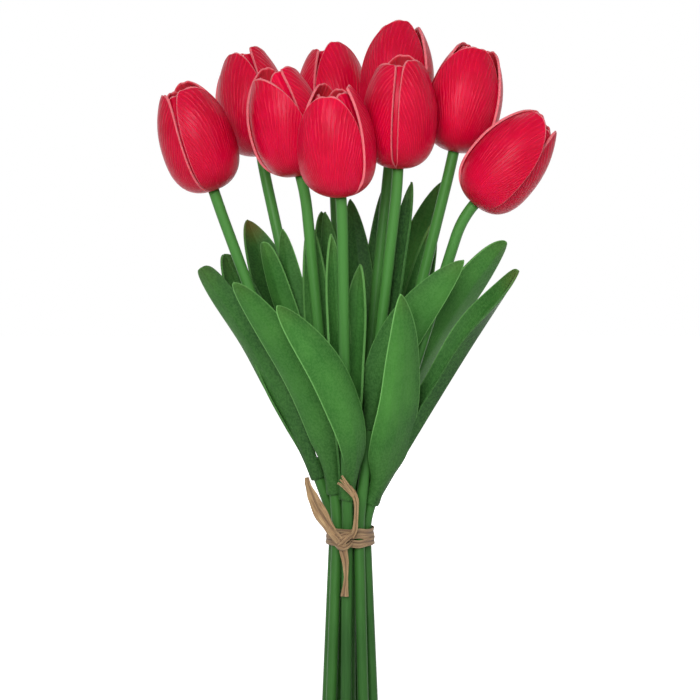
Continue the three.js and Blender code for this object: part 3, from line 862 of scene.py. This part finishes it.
def make_head(name, route, material):
    tulip = TULIPS[name]
    lap = tulip["lap"]
    painted_shade = tulip["painted_shade"]
    dice = random.Random(f"petals of {name}")
    tip_over = UP.rotation_difference(route["axis"]).to_matrix().to_4x4()
    spin = Matrix.Rotation(math.radians(tulip["spin"]), 4, "Z")
    seat = Matrix.Translation(route["neck"]) @ tip_over @ spin
    inner_petals = [
        (dice.uniform(*INNER_HEIGHTS), INNER_HALF_WIDTH, INNER_LEAN, dice.uniform(-INNER_SKEW, INNER_SKEW))
        for _ in range(3)
    ]
    outer = make_whorl(
        f"{name}_outer_petals", tulip["petals"], foot=OUTER_FOOT, inset=0, lap=lap,
        squareness=tulip["round"], first_angle=0, painted_shade=painted_shade, dice=dice,
    )
    inner = make_whorl(
        f"{name}_inner_petals", inner_petals, foot=INNER_FOOT, inset=INNER_INSETS[lap], lap=0,
        squareness=INNER_ROUND, first_angle=math.pi / 3, painted_shade=painted_shade, dice=dice,
    )
    for whorl, node_name in ((outer, f"outer_petals_{name}"), (inner, f"inner_petals_{name}")):
        whorl.data.transform(seat)
        finish_piece(whorl, f"head_{name}", node_name, material)


# Leaves


def blade_outline(share, rise, fall):
    """Share of a blade's full width: a small rise opens quickly above the foot, a small fall ends round."""
    peak = rise / (rise + fall)
    return share**rise * (1 - share) ** fall / (peak**rise * (1 - peak) ** fall)


def make_blade(name, root, heading, given, dice):
    """One blade from a sleeve at root: a sheath round the stem, then a bowed, curled and creased leaf."""
    blade = {**PLAIN_BLADE, **given}
    facing = math.radians(blade["facing"])
    back = Vector((math.cos(facing), math.sin(facing), 0))
    back = (back - heading * back.dot(heading)).normalized()
    foot = root + back * SLEEVE_RADIUS
    tip = Vector(blade["tip"]) * MM
    length = (tip - foot).length
    bend = foot + heading * BLADE_BEND_SHARE * length + back * blade["bow"] * MM
    full_width = blade["width"] * MM
    open_curl = math.radians(blade["curl"])
    crease = blade["crease"]
    first_ripple = dice.uniform(0, ROUGH_TURN)
    ripples = dice.uniform(*BLADE_RIPPLES)

    def place(u, v):
        across = math.sin((u - 0.5) * math.pi)
        climb = max(0, (v - SHEATH_SHARE) / (1 - SHEATH_SHARE))
        share = 1 - (1 - climb) ** BLADE_CROWDING
        below = max(0, 1 - v / SHEATH_SHARE) * SLEEVE_LENGTH * SHEATH_DROP
        point = curve(foot, bend, tip, share) - heading * below
        along = curve_heading(foot, bend, tip, share)
        side = along.cross(back).normalized()
        out = side.cross(along)
        spread = eased(share / OPEN_SHARE)
        outline = blade_outline(share, blade["foot"], blade["point"])
        width = max(lerp(BLADE_FOOT_WIDTH, full_width * outline, spread), BLADE_TIP_WIDTH)
        curl = lerp(BLADE_FOOT_CURL, open_curl, spread)
        curl = lerp(curl, BLADE_TIP_CURL, eased((share - FLAT_FROM) / FLAT_OVER))
        arc = width / 2 / curl
        rounded = (arc * math.sin(curl * across), arc * math.cos(curl * across) - arc)
        from_crease = across - crease
        crest = math.sqrt(from_crease**2 + CREASE_SOFTNESS) - math.sqrt(CREASE_SOFTNESS)
        creased = (width / 2 * across * math.cos(curl / 2), -width / 2 * crest * math.sin(curl / 2))
        sharp = blade["fold"] * spread
        sideways = lerp(rounded[0], creased[0], sharp)
        outwards = lerp(rounded[1], creased[1], sharp)
        wave = math.sin(ripples * ROUGH_TURN * share + first_ripple)
        outwards += EDGE_RIPPLE * width * across**2 * wave * spread
        outwards += MIDRIB_HEIGHT * math.exp(-((across / LINE_SPREAD) ** 2)) * spread
        edge = min((1 - abs(across)) * width / 2, (1 - share) * length + SEAM_GAP)
        placed = point + side * sideways + out * outwards
        return placed, edge, (0.5 + 0.5 * across, share)

    leaf_blade = bent_grid(name, BLADE_ACROSS, BLADE_ALONG, place)
    scorched = leaf_blade.data.attributes.new("brown", "FLOAT", "POINT")
    lightness = leaf_blade.data.attributes.new("tone", "FLOAT", "POINT")
    for vertex in leaf_blade.data.vertices:
        nearness = 1 - (vertex.co - tip).length / BROWN_REACH
        scorched.data[vertex.index].value = blade["brown"] * eased(nearness)
        across = math.sin((vertex.index % (BLADE_ACROSS + 1) / BLADE_ACROSS - 0.5) * math.pi)
        # Painted shade: beyond the crease a blade can take a darker tone of its own, where that side is
        # turned from the light
        beyond = across < crease and "painted_shade_beyond_crease" in blade
        # Painted light and shade across the blade: its tone rises towards one edge and falls as much
        # towards the other
        tone = blade["painted_shade_beyond_crease"] if beyond else blade["tone"] + blade["painted_shade_across"] * across
        lightness.data[vertex.index].value = tone
    thicken(leaf_blade, BLADE_THICKNESS)
    round_over(leaf_blade)
    return leaf_blade


def sleeve_radius(v):
    return lerp(SLEEVE_FOOT_RADIUS, SLEEVE_RADIUS, eased(v))


def make_leaf(name, route, material):
    tulip = TULIPS[name]
    heading = route["heading"]
    dice = random.Random(f"leaf of {name}")
    foot = route["waist"] + heading * (tulip["sleeve"] * MM / heading.z)
    steps = range(SLEEVE_STEPS + 1)
    stations = [(foot + heading * SLEEVE_LENGTH * step / SLEEVE_STEPS, heading) for step in steps]
    sleeve = tube(f"{name}_sleeve", stations, sleeve_radius)
    merge_seam(sleeve)
    thicken(sleeve, SLEEVE_WALL)
    paint_value(sleeve, "tone", SLEEVE_TONE)
    root = foot + heading * SLEEVE_LENGTH / 2
    blades = [
        make_blade(f"{name}_blade_{index}", root, heading, blade, dice)
        for index, blade in enumerate(tulip["blades"])
    ]
    leaf = join_pieces(f"{name}_leaf", [sleeve, *blades])
    finish_piece(leaf, f"leaves_{name}", f"leaf_{name}", material)


# Raffia


def raffia_strip(name, path, out_at, width_at, seed, pleat):
    """A flat strip along path, folded lengthways, its flat side towards out_at. pleat is the depth of its
    folds as a share of its width, and its edge_mm runs from 0 in a fold's valley to 1 on its ridge."""
    last = len(path) - 1
    lengths = lengths_along(path)
    dice = random.Random(seed)
    folds = dice.uniform(*STRIP_FOLDS)
    first_fold = dice.uniform(0, ROUGH_TURN)
    waver = dice.uniform(*STRIP_WAVER)

    def place(u, v):
        step = round(v * last)
        before = path[max(0, step - 1)]
        after = path[min(last, step + 1)]
        along = (after - before).normalized()
        side = along.cross(out_at(v)).normalized()
        out = side.cross(along)
        across = 2 * u - 1
        width = width_at(v)
        phase = folds * across + first_fold + waver * math.sin(ROUGH_TURN * waver * v + first_fold)
        ridge = math.asin(math.sin(phase)) / math.pi
        lift = pleat * width * (ridge - STRIP_ARCH * across**2)
        point = path[step] + side * across * width / 2 + out * lift
        return point, (ridge + 0.5) * MM, (u, lengths[step] / STRIP_PATTERN_LENGTH)

    strip = bent_grid(name, STRIP_ACROSS, last, place)
    thicken(strip, STRIP_THICKNESS)
    round_over(strip)
    return strip


def smooth_path(points, steps):
    """A rounded path through points, bent at each by those on either side."""
    knots = [Vector(point) * MM for point in points]
    ends = [knots[0] * 2 - knots[1], *knots, knots[-1] * 2 - knots[-2]]
    path = []
    spans = len(knots) - 1
    for step in range(steps + 1):
        place = min(step / steps * spans, spans - LAST_SPAN_INSET)
        span = int(place)
        t = place - span
        a, b, c, d = ends[span : span + 4]
        slope = c - a
        bend = 2 * a - 5 * b + 4 * c - d
        twist = 3 * b - a - 3 * c + d
        path.append(0.5 * (2 * b + slope * t + bend * t**2 + twist * t**3))
    return path


def widths_through(values):
    """The width at a share of a strip's length, from widths in mm spread evenly along it."""

    def width_at(share):
        place = min(share * (len(values) - 1), len(values) - 1 - LAST_SPAN_INSET)
        span = int(place)
        return lerp(values[span], values[span + 1], eased(place - span)) * MM

    return width_at


def finish_raffia(name, strips, node_name, material, tone):
    piece = join_pieces(name, strips)
    paint_value(piece, "tone", tone)
    finish_piece(piece, "tied_stems", node_name, material)


def towards_viewer(share):
    return TOWARDS_VIEWER


def band_angle(share):
    """The winding goes once round from the back and a little past its start."""
    return math.radians(BAND_START + BAND_SWEEP * share)


def away_from_axis(share):
    return Vector((math.cos(band_angle(share)), math.sin(band_angle(share)), 0))


def make_band(material):
    """Two turns of the strip round the waist, side by side, drawn apart at the right of the knot."""
    turns = []
    for index, (height, width) in enumerate(BAND_TURNS):
        parting = BAND_PARTING if index == 0 else -BAND_PARTING
        path = []
        for step in range(BAND_STEPS + 1):
            share = step / BAND_STEPS
            radius = BAND_RADIUS + (BAND_CLIMB * share + SECOND_TURN_RISE * index) * MM
            from_slit = (band_angle(share) - BAND_SLIT) / BAND_SLIT_REACH
            slack = BAND_SLACK * math.sin(2 * band_angle(share) + index)
            slack += parting * math.exp(-(from_slit**2))
            path.append(away_from_axis(share) * radius + UP * (height + slack) * MM)
        width_at = widths_through((width, width))
        turn = raffia_strip(f"raffia_turn_{index}", path, away_from_axis, width_at, index, BAND_PLEAT)
        turns.append(turn)
    finish_raffia("raffia_wrap", turns, "raffia_band", material, tone=0)


# The tails and the knot: points in mm along each strip, and its widths in mm, spread evenly along it
LEFT_TAIL = {
    "points": [
        (-4, -14.4, 94.9), (-7, -14.2, 98.6), (-10, -13.9, 103.2), (-13.6, -14.6, 109.4),
        (-17, -15.2, 116.7), (-19.6, -15, 123), (-20.2, -14.7, 126.6),
    ],
    "widths": (3.4, 4.4, 5, 6.8, 5.4, 2.8, 2.2),
}
UPPER_TAIL = {
    "points": [
        (0.4, -14.2, 98.4), (2, -14.5, 101.4), (2.7, -15, 106), (3, -15.8, 111.4),
        (2.8, -16.6, 116.2), (1.2, -17.2, 119.8), (-0.9, -17.6, 122.2),
    ],
    "widths": (2.4, 2.5, 2.2, 2.2, 2.7, 3, 2.8),
}
UPPER_SPLITS = [
    {
        "points": [(2.1, -16.9, 118), (0, -18.3, 121.8), (-2, -19.6, 125), (-3.9, -20.4, 127.8)],
        "widths": (1.6, 1.6, 1.4, 0.9),
    },
    {
        "points": [(1.6, -17, 118), (-1.2, -17.7, 121), (-3.6, -18.2, 123), (-5.7, -18.5, 124.4)],
        "widths": (1.6, 1.6, 1.4, 1),
    },
    {
        "points": [(1.8, -17, 118), (-0.6, -18.1, 121.4), (-3, -19.1, 124.3), (-4.7, -19.6, 126)],
        "widths": (1.6, 1.4, 1, 0.6),
    },
]
LOWER_TAIL = {
    "points": [
        (-3.6, -14.8, 96.4), (-3.2, -15, 94), (-2.8, -14.4, 90.9), (-2.2, -13.8, 87.1),
        (-2, -13.4, 83.4), (-1.9, -13.3, 79.6), (-2.1, -13.4, 75.4), (-2.4, -13.6, 70.4),
    ],
    "widths": (3, 3.6, 3.9, 3.4, 2.7, 2.1, 2.7, 3.7),
}
KNOT_STRIPS = [
    {
        "points": [
            (-8.6, -12.6, 102), (-6.4, -14.6, 99.8), (-4.4, -15.8, 97.2), (-3, -15.6, 94.6),
            (-2.6, -13.8, 92.4),
        ],
        "widths": (3.4, 3.2, 2.7, 2.8),
    },
    {
        "points": [
            (2.8, -12.6, 101.2), (0.8, -14.6, 100), (-1.8, -16.2, 98), (-4.2, -16.2, 95.4),
            (-6, -13.4, 93.4),
        ],
        "widths": (2.4, 2.7, 2.5, 2.6),
    },
    {
        "points": [
            (-6.8, -12.8, 95), (-5.2, -15.8, 94), (-3, -16.4, 93.6), (-0.8, -15.4, 94.6),
            (1, -12.8, 95.8),
        ],
        "widths": (2, 2.5, 2.6, 2),
    },
    {
        "points": [
            (-7.4, -12.8, 98), (-5.2, -15, 98.4), (-2.4, -15.6, 99.6), (0.6, -14.2, 99.2),
            (2.4, -12.6, 98.4),
        ],
        "widths": (2, 2.4, 2.4, 1.8),
    },
]


def strip_through(name, strip, seed, pleat=STRIP_PLEAT):
    path = smooth_path(strip["points"], STRIP_STEPS)
    return raffia_strip(name, path, towards_viewer, widths_through(strip["widths"]), seed, pleat)


def strips_through(name, strips, first_seed):
    return [
        strip_through(f"{name}_{index}", strip, first_seed + index) for index, strip in enumerate(strips)
    ]


def make_tie(material):
    make_band(material)
    wide = strip_through("raffia_wide_end", LEFT_TAIL, seed=11, pleat=WIDE_STRIP_PLEAT)
    finish_raffia("raffia_wide_end", [wide], "raffia_left_tail", material, tone=0.9)
    splits = strips_through("raffia_split", UPPER_SPLITS, first_seed=14)
    folded = strip_through("raffia_folded_end", UPPER_TAIL, seed=12)
    finish_raffia("raffia_split_end", [folded, *splits], "raffia_upper_tail", material, tone=1)
    short = strip_through("raffia_short_end", LOWER_TAIL, seed=13)
    finish_raffia("raffia_short_end", [short], "raffia_lower_tail", material, tone=0.8)
    crossing = strips_through("raffia_cross", KNOT_STRIPS, first_seed=21)
    finish_raffia("raffia_crossing", crossing, "raffia_knot", material, tone=0.4)


# Studio


def backdrop_in_sight(tree):
    """1 where the backdrop itself is seen, straight on or in a shiny surface, and 0 for its light."""
    rays = tree.nodes.new("ShaderNodeLightPath").outputs
    mirrored = math_node(tree, "MAXIMUM", rays["Is Glossy Ray"], rays["Is Transmission Ray"])
    return math_node(tree, "MAXIMUM", rays["Is Camera Ray"], mirrored)


def backdrop_material():
    """White paper: seen straight on it is white, and it still takes the bundle's shadow."""
    material = bpy.data.materials.new("white_paper")
    material.use_nodes = True
    tree = material.node_tree
    tree.nodes.clear()
    paper = node(tree, "ShaderNodeBsdfDiffuse", {"Color": PAPER_GREY})
    places = tree.nodes.new("ShaderNodeTexCoord")
    away = node(tree, "ShaderNodeVectorMath", {0: places.outputs["Object"]}, operation="LENGTH")
    # Brighter away from the bundle, where less light reaches the paper
    brighter_away = {
        "Value": away.outputs["Value"],
        "From Min": 0.1,
        "From Max": 1.0,
        "To Min": 0.6,
        "To Max": 0.95,
    }
    glow_level = node(tree, "ShaderNodeMapRange", brighter_away).outputs["Result"]
    glow = node(tree, "ShaderNodeEmission", {"Color": glow_level, "Strength": 1.0})
    lit = node(tree, "ShaderNodeAddShader", {0: paper.outputs[0], 1: glow.outputs[0]})
    seen = backdrop_in_sight(tree)
    mixed = node(tree, "ShaderNodeMixShader", {0: seen, 1: paper.outputs[0], 2: lit.outputs[0]})
    node(tree, "ShaderNodeOutputMaterial", {"Surface": mixed.outputs[0]})
    return material


def make_floor():
    deselect_all()
    bpy.ops.mesh.primitive_plane_add(size=FLOOR_SIZE)
    floor = bpy.context.object
    floor.name = "paper_floor"
    floor.data.materials.append(backdrop_material())


def make_world():
    world = bpy.data.worlds.new("white_studio")
    bpy.context.scene.world = world
    world.use_nodes = True
    tree = world.node_tree
    tree.nodes.clear()
    soft = node(tree, "ShaderNodeBackground", {"Color": WHITE, "Strength": SOFT_LIGHT})
    white = node(tree, "ShaderNodeBackground", {"Color": WHITE, "Strength": 1.0})
    seen = backdrop_in_sight(tree)
    mixed = node(tree, "ShaderNodeMixShader", {0: seen, 1: soft.outputs[0], 2: white.outputs[0]})
    node(tree, "ShaderNodeOutputWorld", {"Surface": mixed.outputs[0]})


def aim(thing, target):
    thing.rotation_euler = (target - thing.location).to_track_quat("-Z", "Y").to_euler()


def make_light(name, place, size, power):
    lamp = bpy.data.lights.new(name, "AREA")
    lamp.shape = "SQUARE"
    lamp.size = size
    lamp.energy = power
    light = bpy.data.objects.new(name, lamp)
    bpy.context.scene.collection.objects.link(light)
    light.location = place
    aim(light, LAMP_TARGET)
    return light


def make_camera():
    camera = bpy.data.objects.new("camera", bpy.data.cameras.new("camera"))
    bpy.context.scene.collection.objects.link(camera)
    camera.data.lens = CAMERA_LENS
    out_and_up = Vector((0, -math.cos(CAMERA_ELEVATION), math.sin(CAMERA_ELEVATION)))
    camera.location = CAMERA_TARGET + out_and_up * CAMERA_DISTANCE
    aim(camera, CAMERA_TARGET)
    bpy.context.scene.camera = camera


def make_studio():
    make_floor()
    make_world()
    for name, lamp in LAMPS.items():
        light = make_light(name, **lamp)
        # The back lamp isn't mirrored, so that the petals' far edges keep their red
        light.visible_glossy = name != "back"
    make_camera()
    bpy.context.scene.view_settings.view_transform = "Standard"


def build():
    petal, leaf, stem = petal_material(), leaf_material(), stem_material()
    routes = {name: stem_route(name) for name in TULIPS}
    for name, route in routes.items():
        make_stem(name, route, stem)
        make_leaf(name, route, leaf)
        make_head(name, route, petal)
    make_tie(raffia_material())
    core, wire = core_material(), wire_material()
    for name in TULIPS:
        for node_name, material in ((f"bud_core_{name}", core), (f"wire_{name}", wire)):
            cad_node = frame["nodes"][node_name]
            cad_node.data.materials.clear()
            cad_node.data.materials.append(material)
    make_studio()


build()
